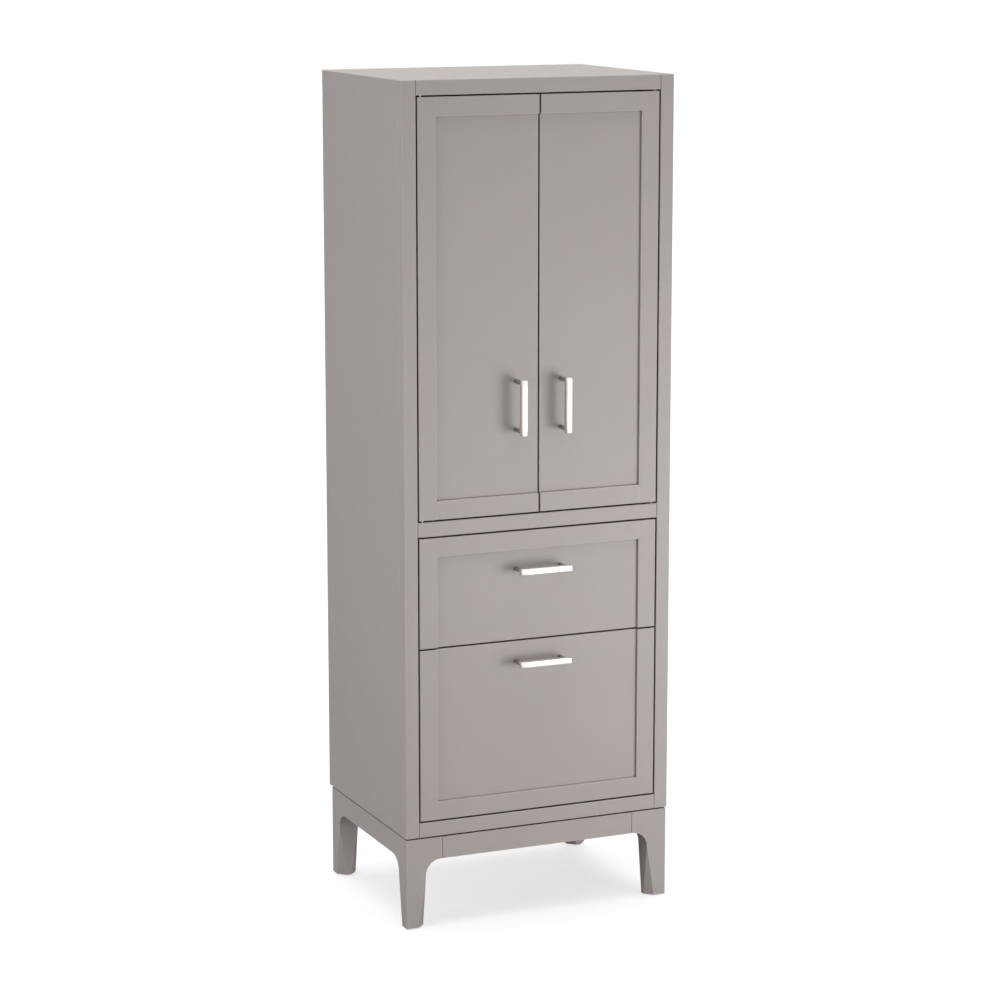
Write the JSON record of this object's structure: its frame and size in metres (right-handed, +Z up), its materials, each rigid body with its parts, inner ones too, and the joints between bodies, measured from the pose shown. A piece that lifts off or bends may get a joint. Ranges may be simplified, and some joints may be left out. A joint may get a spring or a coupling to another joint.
{
  "type": "pantry cabinet",
  "caption": "Tall freestanding pantry cabinet: face-framed case on tapered legs, recessed-panel doors over deep drawers, square bar pulls.",
  "frame": {"origin": "on the floor, at the middle of the overall box with the pulls included", "axes": "+Z up, the doors and drawers face -Y, +X to the right seen from the front"},
  "size_m": [0.61, 0.496, 1.778],
  "materials": {
    "paint": "satin greige paint on wood board",
    "birch": "clear lacquered birch ply",
    "zinc_steel": "zinc plated sheet steel",
    "steel": "plated steel",
    "satin_nickel": "satin nickel",
    "catch_plastic": "moulded plastic",
    "glide_plastic": "moulded plastic"
  },
  "bodies": {
    "case": {"top_panel": "paint", "bottom_panel": "paint", "middle_deck": "paint", "back_panel": "paint", "hanging_rail": "paint", "top_rail": "paint", "middle_rail": "paint", "bottom_rail": "paint", "shelf_lower": "paint", "shelf_upper": "paint", "shelf_pins": "steel", "slide_cleats": "birch", "slide_outers": "zinc_steel", "hinge_plates": "steel", "magnetic_catches": "catch_plastic", "leg_glides": "glide_plastic", "apron_front": "paint", "apron_rear": "paint", "apron_left": "paint", "apron_right": "paint", "side_panel_left": "paint", "side_panel_right": "paint", "stile_left": "paint", "stile_right": "paint", "leg_front_left": "paint", "leg_front_right": "paint", "leg_rear_left": "paint", "leg_rear_right": "paint"},
    "door_left": {"door_left_stile": "paint", "door_left_rail_top": "paint", "door_left_rail_bottom": "paint", "door_left_panel": "paint", "door_left_leaves": "steel", "door_left_pull": "satin_nickel", "door_left_fittings": "steel"},
    "door_right": {"door_right_stile": "paint", "door_right_rail_top": "paint", "door_right_rail_bottom": "paint", "door_right_panel": "paint", "door_right_leaves": "steel", "door_right_pull": "satin_nickel", "door_right_fittings": "steel"},
    "drawer_upper": {"drawer_upper_stiles": "paint", "drawer_upper_rail": "paint", "drawer_upper_panel": "paint", "drawer_upper_walls": "birch", "drawer_upper_base": "birch", "drawer_upper_runners": "zinc_steel", "drawer_upper_pull": "satin_nickel", "drawer_upper_screws": "steel"},
    "slide_middle_upper": {"slide_middles_upper": "zinc_steel"},
    "drawer_lower": {"drawer_lower_stiles": "paint", "drawer_lower_rail": "paint", "drawer_lower_panel": "paint", "drawer_lower_walls": "birch", "drawer_lower_base": "birch", "drawer_lower_runners": "zinc_steel", "drawer_lower_pull": "satin_nickel", "drawer_lower_screws": "steel"},
    "slide_middle_lower": {"slide_middles_lower": "zinc_steel"}
  },
  "joints": [
    {"name": "door_left_hinge", "type": "hinge", "parent": "case", "child": "door_left", "pos_m": [-0.2625, -0.202, 1.31], "axis": [0, 0, -1], "range_deg": [0, 105]},
    {"name": "door_right_hinge", "type": "hinge", "parent": "case", "child": "door_right", "pos_m": [0.2625, -0.202, 1.31], "axis": [0, 0, 1], "range_deg": [0, 105]},
    {"name": "drawer_upper_slide", "type": "slide", "parent": "case", "child": "drawer_upper", "axis": [0, -1, 0], "range_m": [0, 0.38]},
    {"name": "drawer_lower_slide", "type": "slide", "parent": "case", "child": "drawer_lower", "axis": [0, -1, 0], "range_m": [0, 0.38]},
    {"name": "slide_middle_upper_slide", "type": "slide", "parent": "case", "child": "slide_middle_upper", "axis": [0, -1, 0], "range_m": [0, 0.19]},
    {"name": "slide_middle_lower_slide", "type": "slide", "parent": "case", "child": "slide_middle_lower", "axis": [0, -1, 0], "range_m": [0, 0.19]}
  ],
  "couplings": [
    {"joint": "slide_middle_upper_slide", "follows": "drawer_upper_slide", "ratio": 0.5},
    {"joint": "slide_middle_lower_slide", "follows": "drawer_lower_slide", "ratio": 0.5}
  ]
}
